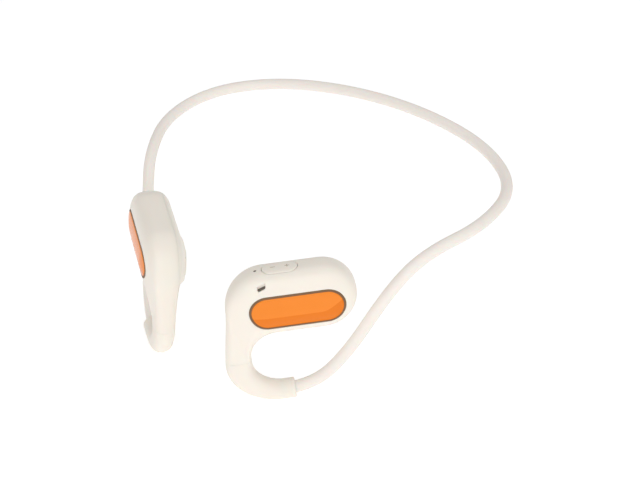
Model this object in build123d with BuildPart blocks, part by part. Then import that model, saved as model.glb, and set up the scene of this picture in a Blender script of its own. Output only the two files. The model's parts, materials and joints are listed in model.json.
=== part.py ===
from build123d import *
import os
from math import atan2, cos, degrees, pi, radians, sin, tan

# Bone conduction headphones, in millimetres. +Z is up, the neckband's back is at +Y and the
# earpiece with the controls is at +X. The set is symmetric about X = 0 apart from the controls,
# and it stands on the bottoms of its two ear hooks, at Z = 0.

# ---------------------------------------------------------------- driving dimensions
# Earpiece frame: its origin is the centre of the collar's mouth, x runs back along the capsule,
# y up and z outward from the head.
EAR_ORIGIN = (30.0, -44.94, 3.69)
EAR_YAW = 50.3
EAR_PITCH = 5.3
EAR_LEAN = 6.2

CAPSULE_REAR = 22.8
CAPSULE_TOP = 44.8
CAPSULE_BOTTOM = 23.2
CAPSULE_HALF_THICK = 6.8
CAPSULE_END_RADIUS = 10.75
FRONT_TOP_CORNER = -16.7
FRONT_TOP_RADIUS = 13.0
ARM_CORNER_RADIUS = 9.4
ARM_OUTER = -20.8
ARM_INNER = -12.6
ARM_SEAM = 13.5
ARM_HALF_THICK = 3.7
TAPER_TOP = 22.5
EDGE_RADIUS = 3.4
SPLIT = -3.6
LID_BOTTOM = 20.5
WALL = 1.3
FACE_WALL = 2.4
CAVITY_FLOOR = 24.5
SEAL_INSET = 0.4
SEAL_WIDTH = 0.45
SEAL_DEPTH = 0.3
FAR_SIDE = 100.0

PLATE_CENTRE = (3.9, 32.4)
PLATE_LENGTH = 30.0
PLATE_HEIGHT = 11.8
PLATE_RECESS = 1.3
GASKET_WIDTH = 0.55
GASKET_DROP = 0.25
PLATE_PROUD = 0.5
PLATE_EDGE_RADIUS = 0.9

POD_CENTRE = (-4.0, 31.5)
POD_LENGTH = 21.6
POD_HEIGHT = 15.0
POD_FACE = -8.6
POD_EDGE_RADIUS = 2.4
POD_CAVITY_RADIUS = 6.3
POD_WALL = 1.2
PAD_BORDER = 2.9
PAD_DEPTH = 0.5
PAD_THICK = 0.7

# Bone conduction driver: a fixed frame and coil, and a magnet assembly that shakes on a flat spring.
DRIVER_RADIUS = 6.2
DRIVER_BACK = -1.85
FRAME_WALL = 0.8
FRAME_BASE = 0.6
COIL_INNER = 3.0
COIL_OUTER = 3.7
COIL_TOP = -3.7
MAGNET_RADIUS = 2.6
MAGNET_FRONT = -5.1
TOP_PLATE_FRONT = -5.9
YOKE_INNER = 4.2
YOKE_OUTER = 5.0
YOKE_FLOOR = -2.9
YOKE_BACK = -2.1
SPRING_THICK = 0.25
SPRING_HUB = 1.5
SPRING_GAP = 0.02
SPRING_SLOTS = 3
SPRING_SLOT_SWEEP = 85.0
SPRING_SLOT_WIDTH = 0.9

BOARD_BACK = -0.9
BOARD_THICK = 0.8
BOARD_CENTRE = (1.0, 32.6)
BOARD_SIZE = (29.0, 14.0)
BOARD_CORNER_RADIUS = 3.0
# The packages on the circuit board: x and y of the centre, length, width and height.
CHIPS = [
    (-7.0, 34.2, 5.0, 5.0, 0.9),
    (1.5, 35.7, 3.0, 3.0, 0.7),
    (1.0, 29.7, 4.0, 2.5, 0.8),
    (10.0, 33.2, 6.0, 4.0, 1.1),
]

BATTERY_CENTRE = (1.0, 32.6)
BATTERY_SIZE = (26.0, 13.0)
BATTERY_BACK = -0.8
BATTERY_FRONT = 4.2
BATTERY_CORNER_RADIUS = 1.0
BATTERY_EDGE_RADIUS = 1.2
BATTERY_BOARD_SIZE = (16.0, 3.6, 0.7)
BATTERY_BOARD_AT = (3.0, 40.1, 0.9)

ROCKER_AT = (0.0, 0.6)
ROCKER_LENGTH = 11.4
ROCKER_WIDTH = 5.8
ROCKER_GAP = 0.16
ROCKER_OPENING_FLOOR = 43.05
ROCKER_BASE = 43.2
ROCKER_TOP = 45.05
ROCKER_EDGE_RADIUS = 0.5
ROCKER_PIVOT = 42.65
ROCKER_BOSS_RADIUS = 1.1
ROCKER_BOSS_LENGTH = 2.8
NUB_SPACING = 4.1
NUB_RADIUS = 0.7
NUB_BOTTOM = 41.85
PIN_RADIUS = 0.5
PIN_LENGTH = 6.0
PIN_CLEARANCE = 0.04
LUG_INNER = 1.55
LUG_OUTER = 3.3
LUG_BOTTOM = 41.7
LUG_HALF_WIDTH = 1.3
KEY_BOARD_BOTTOM = 40.3
KEY_BOARD_THICK = 0.7
KEY_BOARD_SIZE = (12.0, 4.4)
DOME_RADIUS = 1.4
DOME_HEIGHT = 0.6

LIGHT_AT = (-7.55, 0.7)
LIGHT_RADIUS = 0.5
LIGHT_BOTTOM = 41.3
LIGHT_DROP = 0.3
PORT_AT = (-6.2, 41.3)
PORT_TOP_WIDTH = 2.9
PORT_BOTTOM_WIDTH = 2.1
PORT_HEIGHT = 1.7
PORT_TILT = 20.0
PORT_FLOOR = 5.0
PORT_HOLE_RADIUS = 0.5
MIC_MESH_RADIUS = 0.7
MIC_MESH_THICK = 0.15
MIC_SIZE = (3.0, 2.6, 1.1)
MIC_FRONT = 4.35

CONTACT_AT = (15.8, 33.6)
CONTACT_SPACING = 3.0
CONTACT_RADIUS = 0.8
CONTACT_FLANGE_RADIUS = 1.1
CONTACT_FLANGE_THICK = 0.4
CONTACT_BLOCK_SIZE = (4.0, 7.4)
CONTACT_BLOCK_THICK = 0.8

COLLAR_LENGTH = 4.0
COLLAR_RADIUS = 3.25
COLLAR_EDGE_RADIUS = 0.7
COLLAR_GRIP = 3.0
BAND_RADIUS = 2.0
BAND_LUMEN = 1.15
MEMORY_WIRE_RADIUS = 0.5
SIGNAL_WIRE_RADIUS = 0.25
SIGNAL_WIRE_OFFSET = 0.8
CRIMP_OUTER = 0.85
CRIMP_START = -7.6
CRIMP_END = -4.2
HOOK_WIRE_END = -5.9
BAND_WIRE_START = -5.7
FIT = 0.03
BEND_SHARE = 0.45

# Sections of the ear hook from the collar to the seam below the capsule: x and y of the centre,
# direction in degrees, half the width and half the thickness.
HOOK_STATIONS = [
    (-4.0, 0.0, -90.0, 3.2, 3.25),
    (-5.9, 0.3, -103.5, 3.4, 3.28),
    (-11.2, 2.2, -122.0, 3.7, 3.35),
    (-14.75, 5.15, -145.0, 3.95, 3.45),
    (-16.8, 9.95, -173.0, 4.2, 3.6),
    (-16.7, 13.5, -180.0, 4.1, ARM_HALF_THICK),
]
SECTION_ROUNDING = 0.8
HOOK_WIRE_ROUTE = [(-16.7, 19.0), (-16.7, 6.5), (-11.5, 0.0), (HOOK_WIRE_END, 0.0)]

# Right half of the neckband's centre line, as corners in the object's frame. The first corner lies
# on the collar's axis, this far behind its mouth.
BAND_FIRST_CORNER = 5.5
BAND_CORNERS = [
    (41.5, -32.84, 13.95),
    (50.0, -20.34, 36.45),
    (56.5, -10.34, 46.35),
    (65.5, 10.16, 48.95),
    (63.5, 35.16, 49.45),
    (44.5, 51.66, 51.35),
    (15.5, 59.06, 52.95),
]

PARTS_FOLDER = "parts"
os.makedirs(PARTS_FOLDER, exist_ok=True)


# ---------------------------------------------------------------- frames and helpers
def earpiece_plane():
    """The right earpiece's frame, turned in yaw, pitch and lean."""
    yaw, pitch, lean = radians(EAR_YAW), radians(EAR_PITCH), radians(EAR_LEAN)
    back = Vector(sin(yaw) * cos(pitch), cos(yaw) * cos(pitch), sin(pitch))
    level_out = Vector(cos(yaw), -sin(yaw), 0)
    up = level_out.cross(back)
    outward = level_out * cos(lean) + up * sin(lean)
    return Plane(origin=EAR_ORIGIN, x_dir=back, z_dir=outward)


EAR = earpiece_plane()
EAR_BACK = EAR.x_dir
EAR_UP = EAR.y_dir
EAR_OUT = EAR.z_dir


def ear_point(x, y, z=0.0):
    """A point of the earpiece's frame in the object's frame."""
    return EAR.from_local_coords(Vector(x, y, z))


def top_plane(height):
    """A plane across the capsule at this height: x runs back along it and y runs inward."""
    return Plane(origin=ear_point(0, height), x_dir=EAR_BACK, z_dir=EAR_UP)


def along_plane(distance):
    """A plane across the collar's axis at this distance behind its mouth."""
    return Plane(origin=ear_point(distance, 0), x_dir=EAR_UP, z_dir=EAR_BACK)


def station_plane(x, y, angle):
    """The plane of one section of the ear hook: its x runs away from the hook's inner side."""
    across = EAR_BACK * cos(radians(angle)) + EAR_UP * sin(radians(angle))
    return Plane(origin=ear_point(x, y), x_dir=across, z_dir=across.cross(EAR_OUT))


def write(piece, name):
    """Labels a finished piece and writes it to its own file."""
    piece.label = name
    export_step(piece, f"{PARTS_FOLDER}/{name}.step")


def write_pair(piece, name):
    """Writes a right-hand piece, and its mirror image for the left."""
    write(piece, f"right_{name}")
    write(mirror(piece, about=Plane.YZ), f"left_{name}")


def bend_radii(points):
    """Fillet radii that are as large as the two runs at each corner allow."""
    radii = []
    for before, corner, after in zip(points, points[1:], points[2:]):
        run_in = Vector(corner) - Vector(before)
        run_out = Vector(after) - Vector(corner)
        turn = radians(run_in.get_angle(run_out))
        radii.append(BEND_SHARE * min(run_in.length, run_out.length) / tan(turn / 2))
    return radii


# ---------------------------------------------------------------- side outlines of the capsule
# The capsule with the arm below its leaning front that the ear hook meets.
with BuildSketch() as capsule_outline:
    with BuildLine():
        Polyline(
            (ARM_OUTER, ARM_SEAM),
            (FRONT_TOP_CORNER, CAPSULE_TOP),
            (CAPSULE_REAR, CAPSULE_TOP),
            (CAPSULE_REAR, CAPSULE_BOTTOM),
            (ARM_INNER, CAPSULE_BOTTOM),
            (ARM_INNER, ARM_SEAM),
            close=True,
        )
    make_face()
    fillet(capsule_outline.vertices().group_by(Axis.X)[-1], CAPSULE_END_RADIUS)
    fillet(capsule_outline.vertices().group_by(Axis.Y)[-1].sort_by(Axis.X)[0], FRONT_TOP_RADIUS)
    inner_corners = capsule_outline.vertices().filter_by_position(Axis.X, ARM_INNER - 1, ARM_INNER + 1)
    fillet(inner_corners.sort_by(Axis.Y)[-1], ARM_CORNER_RADIUS)

with BuildSketch() as cavity_outline:
    add(capsule_outline.sketch)
    offset(amount=-WALL)
    with Locations((0, CAVITY_FLOOR)):
        Rectangle(FAR_SIDE, FAR_SIDE, align=(Align.CENTER, Align.MAX), mode=Mode.SUBTRACT)

with BuildSketch() as seal_outline:
    add(cavity_outline.sketch)
    offset(amount=WALL - SEAL_INSET)
    offset(cavity_outline.sketch, amount=WALL - SEAL_INSET - SEAL_WIDTH, mode=Mode.SUBTRACT)

hook_wire_x, hook_wire_top = HOOK_WIRE_ROUTE[0]
rocker_x, rocker_z = ROCKER_AT

# ---------------------------------------------------------------- the whole casing, before it is split
# Both faces taper towards the arm's seam with the ear hook.
with BuildPart() as casing:
    with BuildSketch(EAR.offset(-CAPSULE_HALF_THICK)):
        add(capsule_outline.sketch)
    extrude(amount=2 * CAPSULE_HALF_THICK)
    for side in (-1, 1):
        face_rim = casing.faces().sort_by(Axis(EAR.origin, EAR_OUT * side))[-1].outer_wire().edges()
        fillet(face_rim.sort_by(Axis(EAR.origin, EAR_UP))[1:], EDGE_RADIUS)
    for side in (-1, 1):
        with BuildSketch(along_plane(-FAR_SIDE / 2)):
            with BuildLine():
                Polyline(
                    (TAPER_TOP, -side * CAPSULE_HALF_THICK),
                    (ARM_SEAM, -side * ARM_HALF_THICK),
                    (ARM_SEAM - WALL, -side * ARM_HALF_THICK),
                    (ARM_SEAM - WALL, -side * 2 * CAPSULE_HALF_THICK),
                    (TAPER_TOP, -side * 2 * CAPSULE_HALF_THICK),
                    close=True,
                )
            make_face()
        extrude(amount=FAR_SIDE, mode=Mode.SUBTRACT)

# The space that belongs to the inner shell, on the head's side of the split.
with BuildPart() as lid_space:
    with BuildSketch(EAR.offset(SPLIT)):
        with Locations((0, LID_BOTTOM)):
            Rectangle(FAR_SIDE, FAR_SIDE, align=(Align.CENTER, Align.MIN))
    extrude(amount=-CAPSULE_HALF_THICK)

# ---------------------------------------------------------------- outer shells
# A deep cup: the outer face, the whole rim and the arm, with the recess for the decorative plate
# and the socket for the hook's wire.
with BuildPart() as outer_shell:
    add(casing.part)
    add(lid_space.part, mode=Mode.SUBTRACT)
    with BuildSketch(EAR.offset(SPLIT)):
        add(cavity_outline.sketch)
    extrude(amount=CAPSULE_HALF_THICK - FACE_WALL - SPLIT, mode=Mode.SUBTRACT)
    with BuildSketch(EAR.offset(CAPSULE_HALF_THICK - PLATE_RECESS)):
        with Locations(PLATE_CENTRE):
            SlotOverall(PLATE_LENGTH, PLATE_HEIGHT)
    extrude(amount=2 * PLATE_RECESS, mode=Mode.SUBTRACT)
    with BuildSketch(top_plane(ARM_SEAM)):
        with Locations((hook_wire_x, 0)):
            Circle(MEMORY_WIRE_RADIUS + FIT)
    extrude(amount=hook_wire_top - ARM_SEAM, mode=Mode.SUBTRACT)

write(mirror(outer_shell.part, about=Plane.YZ), "left_outer_shell")

# The right one also carries the controls: the rocker's opening with two lugs below it that hold
# the pivot pin, the light's hole, and the microphone's port.
port_side_angle = degrees(atan2(PORT_HEIGHT, (PORT_TOP_WIDTH - PORT_BOTTOM_WIDTH) / 2))
with BuildPart() as right_outer_shell:
    add(outer_shell.part)
    with BuildSketch(top_plane(LUG_BOTTOM)):
        for side in (1, -1):
            with Locations((rocker_x, -rocker_z + side * (LUG_INNER + LUG_OUTER) / 2)):
                Rectangle(2 * LUG_HALF_WIDTH, LUG_OUTER - LUG_INNER)
    extrude(amount=CAPSULE_TOP - WALL / 2 - LUG_BOTTOM)
    with BuildSketch(top_plane(ROCKER_OPENING_FLOOR)):
        with Locations((rocker_x, -rocker_z)):
            SlotOverall(ROCKER_LENGTH, ROCKER_WIDTH)
    extrude(amount=CAPSULE_TOP - ROCKER_OPENING_FLOOR + WALL, mode=Mode.SUBTRACT)
    with BuildSketch(EAR.offset(rocker_z - PIN_LENGTH / 2)):
        with Locations((rocker_x, ROCKER_PIVOT)):
            Circle(PIN_RADIUS)
    extrude(amount=PIN_LENGTH, mode=Mode.SUBTRACT)
    with BuildSketch(top_plane(CAPSULE_TOP - 2 * WALL)):
        with Locations((LIGHT_AT[0], -LIGHT_AT[1])):
            Circle(LIGHT_RADIUS)
    extrude(amount=4 * WALL, mode=Mode.SUBTRACT)
    with BuildSketch(EAR.offset(PORT_FLOOR)):
        with Locations(PORT_AT):
            Trapezoid(PORT_TOP_WIDTH, PORT_HEIGHT, port_side_angle, rotation=180 + PORT_TILT)
    extrude(amount=CAPSULE_HALF_THICK - PORT_FLOOR + WALL, mode=Mode.SUBTRACT)
    with BuildSketch(EAR.offset(CAPSULE_HALF_THICK - FACE_WALL - WALL)):
        with Locations(PORT_AT):
            Circle(PORT_HOLE_RADIUS)
    extrude(amount=3 * WALL, mode=Mode.SUBTRACT)

write(right_outer_shell.part, "right_outer_shell")

# ---------------------------------------------------------------- inner shells
# A shallow lid that faces the head, with the oval pod for the driver and a recess for the skin pad.
with BuildPart() as inner_shell:
    add(casing.part)
    add(lid_space.part, mode=Mode.INTERSECT)
    with BuildSketch(EAR.offset(SPLIT - WALL)):
        with Locations(POD_CENTRE):
            Ellipse(POD_LENGTH / 2, POD_HEIGHT / 2)
    extrude(amount=POD_FACE - SPLIT + WALL)
    pod_face = inner_shell.faces().sort_by(Axis(EAR.origin, EAR_OUT))[0]
    fillet(pod_face.outer_wire().edges(), POD_EDGE_RADIUS)
    with BuildSketch(EAR.offset(SPLIT)):
        add(cavity_outline.sketch)
    extrude(amount=-(CAPSULE_HALF_THICK + SPLIT - WALL), mode=Mode.SUBTRACT)
    with BuildSketch(EAR.offset(SPLIT)):
        with Locations(POD_CENTRE):
            Circle(POD_CAVITY_RADIUS)
    extrude(amount=POD_FACE + POD_WALL - SPLIT, mode=Mode.SUBTRACT)
    with BuildSketch(EAR.offset(POD_FACE + PAD_DEPTH)):
        with Locations(POD_CENTRE):
            Ellipse(POD_LENGTH / 2 - PAD_BORDER, POD_HEIGHT / 2 - PAD_BORDER)
    extrude(amount=-2 * PAD_DEPTH, mode=Mode.SUBTRACT)
    with BuildSketch(EAR.offset(SPLIT)):
        add(seal_outline.sketch)
    extrude(amount=-SEAL_DEPTH, mode=Mode.SUBTRACT)

write(mirror(inner_shell.part, about=Plane.YZ), "left_inner_shell")

# The right one has the two holes for the charging contacts.
contact_spots = [
    (CONTACT_AT[0], CONTACT_AT[1] - CONTACT_SPACING / 2),
    (CONTACT_AT[0], CONTACT_AT[1] + CONTACT_SPACING / 2),
]
with BuildPart() as right_inner_shell:
    add(inner_shell.part)
    with BuildSketch(EAR.offset(SPLIT)):
        with Locations(contact_spots):
            Circle(CONTACT_RADIUS)
    extrude(amount=-2 * CAPSULE_HALF_THICK, mode=Mode.SUBTRACT)

write(right_inner_shell.part, "right_inner_shell")

# ---------------------------------------------------------------- seal, skin pad and plate
with BuildPart() as shell_seal:
    with BuildSketch(EAR.offset(SPLIT)):
        add(seal_outline.sketch)
    extrude(amount=-SEAL_DEPTH)

with BuildPart() as skin_pad:
    with BuildSketch(EAR.offset(POD_FACE + PAD_DEPTH)):
        with Locations(POD_CENTRE):
            Ellipse(POD_LENGTH / 2 - PAD_BORDER, POD_HEIGHT / 2 - PAD_BORDER)
    extrude(amount=-PAD_THICK)
    fillet(skin_pad.faces().sort_by(Axis(EAR.origin, EAR_OUT))[0].edges(), PAD_THICK / 3)

plate_floor = CAPSULE_HALF_THICK - PLATE_RECESS
with BuildPart() as plate_gasket:
    with BuildSketch(EAR.offset(plate_floor)):
        with Locations(PLATE_CENTRE):
            SlotOverall(PLATE_LENGTH, PLATE_HEIGHT)
            SlotOverall(
                PLATE_LENGTH - 2 * GASKET_WIDTH,
                PLATE_HEIGHT - 2 * GASKET_WIDTH,
                mode=Mode.SUBTRACT,
            )
    extrude(amount=PLATE_RECESS - GASKET_DROP)

with BuildPart() as decor_plate:
    with BuildSketch(EAR.offset(plate_floor)):
        with Locations(PLATE_CENTRE):
            SlotOverall(PLATE_LENGTH - 2 * GASKET_WIDTH, PLATE_HEIGHT - 2 * GASKET_WIDTH)
    extrude(amount=PLATE_RECESS + PLATE_PROUD)
    fillet(decor_plate.faces().sort_by(Axis(EAR.origin, EAR_OUT))[-1].edges(), PLATE_EDGE_RADIUS)

write_pair(shell_seal.part, "shell_seal")
write_pair(skin_pad.part, "skin_pad")
write_pair(plate_gasket.part, "plate_gasket")
write_pair(decor_plate.part, "decor_plate")

# ---------------------------------------------------------------- driver
driver_front = POD_FACE + POD_WALL
coil_seat = driver_front + FRAME_BASE
spring_back = DRIVER_BACK + SPRING_THICK

with BuildPart() as driver_frame:
    with BuildSketch(EAR.offset(driver_front)):
        with Locations(POD_CENTRE):
            Circle(DRIVER_RADIUS)
    extrude(amount=FRAME_BASE)
    with BuildSketch(EAR.offset(driver_front)):
        with Locations(POD_CENTRE):
            Circle(DRIVER_RADIUS)
            Circle(DRIVER_RADIUS - FRAME_WALL, mode=Mode.SUBTRACT)
    extrude(amount=DRIVER_BACK - driver_front)

with BuildPart() as driver_coil:
    with BuildSketch(EAR.offset(coil_seat)):
        with Locations(POD_CENTRE):
            Circle(COIL_OUTER)
            Circle(COIL_INNER, mode=Mode.SUBTRACT)
    extrude(amount=COIL_TOP - coil_seat)

with BuildPart() as driver_yoke:
    with BuildSketch(EAR.offset(YOKE_FLOOR)):
        with Locations(POD_CENTRE):
            Circle(YOKE_OUTER)
    extrude(amount=YOKE_BACK - YOKE_FLOOR)
    with BuildSketch(EAR.offset(TOP_PLATE_FRONT)):
        with Locations(POD_CENTRE):
            Circle(YOKE_OUTER)
            Circle(YOKE_INNER, mode=Mode.SUBTRACT)
    extrude(amount=YOKE_FLOOR - TOP_PLATE_FRONT)

with BuildPart() as driver_magnet:
    with BuildSketch(EAR.offset(MAGNET_FRONT)):
        with Locations(POD_CENTRE):
            Circle(MAGNET_RADIUS)
    extrude(amount=YOKE_FLOOR - MAGNET_FRONT)

with BuildPart() as driver_top_plate:
    with BuildSketch(EAR.offset(TOP_PLATE_FRONT)):
        with Locations(POD_CENTRE):
            Circle(MAGNET_RADIUS)
    extrude(amount=MAGNET_FRONT - TOP_PLATE_FRONT)

spring_arc = CenterArc((0, 0), (SPRING_HUB + DRIVER_RADIUS) / 2, 0, SPRING_SLOT_SWEEP)

# A disc on the frame's rim with three slots around a hub that carries the magnet assembly.
with BuildPart() as driver_spring:
    with BuildSketch(EAR.offset(DRIVER_BACK)):
        with Locations(POD_CENTRE):
            Circle(DRIVER_RADIUS)
            with PolarLocations(0, SPRING_SLOTS):
                SlotArc(spring_arc, SPRING_SLOT_WIDTH, mode=Mode.SUBTRACT)
    extrude(amount=SPRING_THICK)
    with BuildSketch(EAR.offset(YOKE_BACK + SPRING_GAP)):
        with Locations(POD_CENTRE):
            Circle(SPRING_HUB)
    extrude(amount=DRIVER_BACK - YOKE_BACK - SPRING_GAP)

for piece, name in (
    (driver_frame.part, "driver_frame"),
    (driver_coil.part, "driver_coil"),
    (driver_yoke.part, "driver_yoke"),
    (driver_magnet.part, "driver_magnet"),
    (driver_top_plate.part, "driver_top_plate"),
    (driver_spring.part, "driver_spring"),
):
    write_pair(piece, name)

# ---------------------------------------------------------------- right electronics
board_front = BOARD_BACK + BOARD_THICK
with BuildPart() as right_circuit_board:
    with BuildSketch(EAR.offset(BOARD_BACK)):
        with Locations(BOARD_CENTRE):
            RectangleRounded(*BOARD_SIZE, BOARD_CORNER_RADIUS)
    extrude(amount=BOARD_THICK)

with BuildPart() as right_board_chips:
    for chip_x, chip_y, chip_length, chip_width, chip_height in CHIPS:
        with BuildSketch(EAR.offset(board_front)):
            with Locations((chip_x, chip_y)):
                Rectangle(chip_length, chip_width)
        extrude(amount=chip_height)

with BuildPart() as right_microphone:
    with BuildSketch(EAR.offset(MIC_FRONT - MIC_SIZE[2])):
        with Locations(PORT_AT):
            Rectangle(MIC_SIZE[0], MIC_SIZE[1])
    extrude(amount=MIC_SIZE[2])

with BuildPart() as right_mic_mesh:
    with BuildSketch(EAR.offset(PORT_FLOOR)):
        with Locations(PORT_AT):
            Circle(MIC_MESH_RADIUS)
    extrude(amount=MIC_MESH_THICK)

with BuildPart() as right_light_pipe:
    with BuildSketch(top_plane(LIGHT_BOTTOM)):
        with Locations((LIGHT_AT[0], -LIGHT_AT[1])):
            Circle(LIGHT_RADIUS)
    extrude(amount=CAPSULE_TOP - LIGHT_DROP - LIGHT_BOTTOM)

inner_floor = -CAPSULE_HALF_THICK + WALL
with BuildPart() as right_charge_block:
    with BuildSketch(EAR.offset(inner_floor + CONTACT_FLANGE_THICK)):
        with Locations(CONTACT_AT):
            Rectangle(*CONTACT_BLOCK_SIZE)
    extrude(amount=CONTACT_BLOCK_THICK)

with BuildPart() as right_charge_contacts:
    with BuildSketch(EAR.offset(inner_floor)):
        with Locations(contact_spots):
            Circle(CONTACT_RADIUS)
    extrude(amount=-WALL)
    with BuildSketch(EAR.offset(inner_floor)):
        with Locations(contact_spots):
            Circle(CONTACT_FLANGE_RADIUS)
    extrude(amount=CONTACT_FLANGE_THICK)

for piece, name in (
    (right_circuit_board.part, "right_circuit_board"),
    (right_board_chips.part, "right_board_chips"),
    (right_microphone.part, "right_microphone"),
    (right_mic_mesh.part, "right_mic_mesh"),
    (right_light_pipe.part, "right_light_pipe"),
    (right_charge_block.part, "right_charge_block"),
    (right_charge_contacts.part, "right_charge_contacts"),
):
    write(piece, name)

# ---------------------------------------------------------------- volume rocker
with BuildPart() as volume_rocker:
    with BuildSketch(top_plane(ROCKER_BASE)):
        with Locations((rocker_x, -rocker_z)):
            SlotOverall(ROCKER_LENGTH - 2 * ROCKER_GAP, ROCKER_WIDTH - 2 * ROCKER_GAP)
    extrude(amount=ROCKER_TOP - ROCKER_BASE)
    fillet(volume_rocker.faces().sort_by(Axis(EAR.origin, EAR_UP))[-1].edges(), ROCKER_EDGE_RADIUS)
    with BuildSketch(top_plane(ROCKER_PIVOT)):
        with Locations((rocker_x, -rocker_z)):
            Rectangle(2 * ROCKER_BOSS_RADIUS, ROCKER_BOSS_LENGTH)
    extrude(amount=ROCKER_BASE - ROCKER_PIVOT + ROCKER_EDGE_RADIUS)
    with BuildSketch(EAR.offset(rocker_z - ROCKER_BOSS_LENGTH / 2)):
        with Locations((rocker_x, ROCKER_PIVOT)):
            Circle(ROCKER_BOSS_RADIUS)
    extrude(amount=ROCKER_BOSS_LENGTH)
    with BuildSketch(top_plane(NUB_BOTTOM)):
        with Locations((rocker_x - NUB_SPACING, -rocker_z), (rocker_x + NUB_SPACING, -rocker_z)):
            Circle(NUB_RADIUS)
    extrude(amount=ROCKER_BASE - NUB_BOTTOM + ROCKER_EDGE_RADIUS)
    with BuildSketch(EAR.offset(rocker_z - ROCKER_BOSS_LENGTH)):
        with Locations((rocker_x, ROCKER_PIVOT)):
            Circle(PIN_RADIUS + PIN_CLEARANCE)
    extrude(amount=2 * ROCKER_BOSS_LENGTH, mode=Mode.SUBTRACT)

with BuildPart() as rocker_pin:
    with BuildSketch(EAR.offset(rocker_z - PIN_LENGTH / 2)):
        with Locations((rocker_x, ROCKER_PIVOT)):
            Circle(PIN_RADIUS)
    extrude(amount=PIN_LENGTH)

key_board_top = KEY_BOARD_BOTTOM + KEY_BOARD_THICK
with BuildPart() as key_board:
    with BuildSketch(top_plane(KEY_BOARD_BOTTOM)):
        with Locations((rocker_x, -rocker_z)):
            Rectangle(*KEY_BOARD_SIZE)
    extrude(amount=KEY_BOARD_THICK)

with BuildPart() as dome_switches:
    with BuildSketch(top_plane(key_board_top)):
        with Locations((rocker_x - NUB_SPACING, -rocker_z), (rocker_x + NUB_SPACING, -rocker_z)):
            Circle(DOME_RADIUS)
    extrude(amount=DOME_HEIGHT)
    fillet(dome_switches.faces().sort_by(Axis(EAR.origin, EAR_UP))[-2:].edges(), DOME_HEIGHT / 2)

for piece, name in (
    (volume_rocker.part, "volume_rocker"),
    (rocker_pin.part, "rocker_pin"),
    (key_board.part, "key_board"),
    (dome_switches.part, "dome_switches"),
):
    write(piece, name)

# ---------------------------------------------------------------- left battery
# Both are drawn in the right earpiece's frame and mirrored to the left.
with BuildPart() as battery_cell:
    with BuildSketch(EAR.offset(BATTERY_BACK)):
        with Locations(BATTERY_CENTRE):
            RectangleRounded(*BATTERY_SIZE, BATTERY_CORNER_RADIUS)
    extrude(amount=BATTERY_FRONT - BATTERY_BACK)
    fillet(battery_cell.edges().filter_by(Axis(EAR.origin, EAR_BACK)), BATTERY_EDGE_RADIUS)

board_x, board_y, board_z = BATTERY_BOARD_AT
with BuildPart() as battery_board:
    with BuildSketch(top_plane(board_y)):
        with Locations((board_x, -board_z)):
            Rectangle(BATTERY_BOARD_SIZE[0], BATTERY_BOARD_SIZE[1])
    extrude(amount=BATTERY_BOARD_SIZE[2])

write(mirror(battery_cell.part, about=Plane.YZ), "left_battery_cell")
write(mirror(battery_board.part, about=Plane.YZ), "left_battery_board")

# ---------------------------------------------------------------- ear hooks
with BuildLine(EAR) as hook_wire_line:
    FilletPolyline(*HOOK_WIRE_ROUTE, radius=bend_radii(HOOK_WIRE_ROUTE))
hook_wire_start = Plane(hook_wire_line.line @ 0, z_dir=hook_wire_line.line % 0)

with BuildPart() as hook_wire:
    with BuildSketch(hook_wire_start):
        Circle(MEMORY_WIRE_RADIUS)
    sweep(path=hook_wire_line.line)

with BuildPart() as hook_channel:
    with BuildSketch(hook_wire_start):
        Circle(MEMORY_WIRE_RADIUS + FIT)
    sweep(path=hook_wire_line.line)

with BuildPart() as ear_hook:
    for station_x, station_y, angle, half_width, half_thick in HOOK_STATIONS:
        with BuildSketch(station_plane(station_x, station_y, angle)):
            RectangleRounded(2 * half_width, 2 * half_thick, SECTION_ROUNDING * half_width)
    loft()
    add(hook_channel.part, mode=Mode.SUBTRACT)
    with BuildSketch(along_plane(CRIMP_START)):
        Circle(CRIMP_OUTER + FIT)
    extrude(amount=-CRIMP_START, mode=Mode.SUBTRACT)

with BuildPart() as wire_crimp:
    with BuildSketch(along_plane(CRIMP_START)):
        Circle(CRIMP_OUTER)
        Circle(MEMORY_WIRE_RADIUS + FIT, mode=Mode.SUBTRACT)
    extrude(amount=CRIMP_END - CRIMP_START)

with BuildPart() as collar:
    with BuildSketch(along_plane(-COLLAR_LENGTH)):
        Circle(COLLAR_RADIUS)
    extrude(amount=COLLAR_LENGTH)
    fillet(collar.faces().sort_by(Axis(EAR.origin, EAR_BACK))[-1].edges(), COLLAR_EDGE_RADIUS)
    with BuildSketch(along_plane(-COLLAR_LENGTH)):
        Circle(BAND_LUMEN)
    extrude(amount=COLLAR_LENGTH, mode=Mode.SUBTRACT)
    with BuildSketch(along_plane(-COLLAR_GRIP)):
        Circle(BAND_RADIUS + FIT)
    extrude(amount=COLLAR_LENGTH, mode=Mode.SUBTRACT)

write_pair(hook_wire.part, "hook_wire")
write_pair(ear_hook.part, "ear_hook")
write_pair(wire_crimp.part, "wire_crimp")
write_pair(collar.part, "collar")

# ---------------------------------------------------------------- neckband
def band_route(start):
    """The whole neckband's corners, from this distance along the right collar to the left one."""
    right_half = [tuple(ear_point(start, 0)), tuple(ear_point(BAND_FIRST_CORNER, 0))] + BAND_CORNERS
    return right_half + [(-x, y, z) for x, y, z in reversed(right_half)]


band_radii = bend_radii(band_route(-COLLAR_GRIP))
with BuildLine() as sleeve_line:
    FilletPolyline(*band_route(-COLLAR_GRIP), radius=band_radii)
with BuildLine() as band_wire_line:
    FilletPolyline(*band_route(BAND_WIRE_START), radius=band_radii)

sleeve_start = Plane(sleeve_line.line @ 0, x_dir=EAR_OUT, z_dir=sleeve_line.line % 0)

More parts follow.
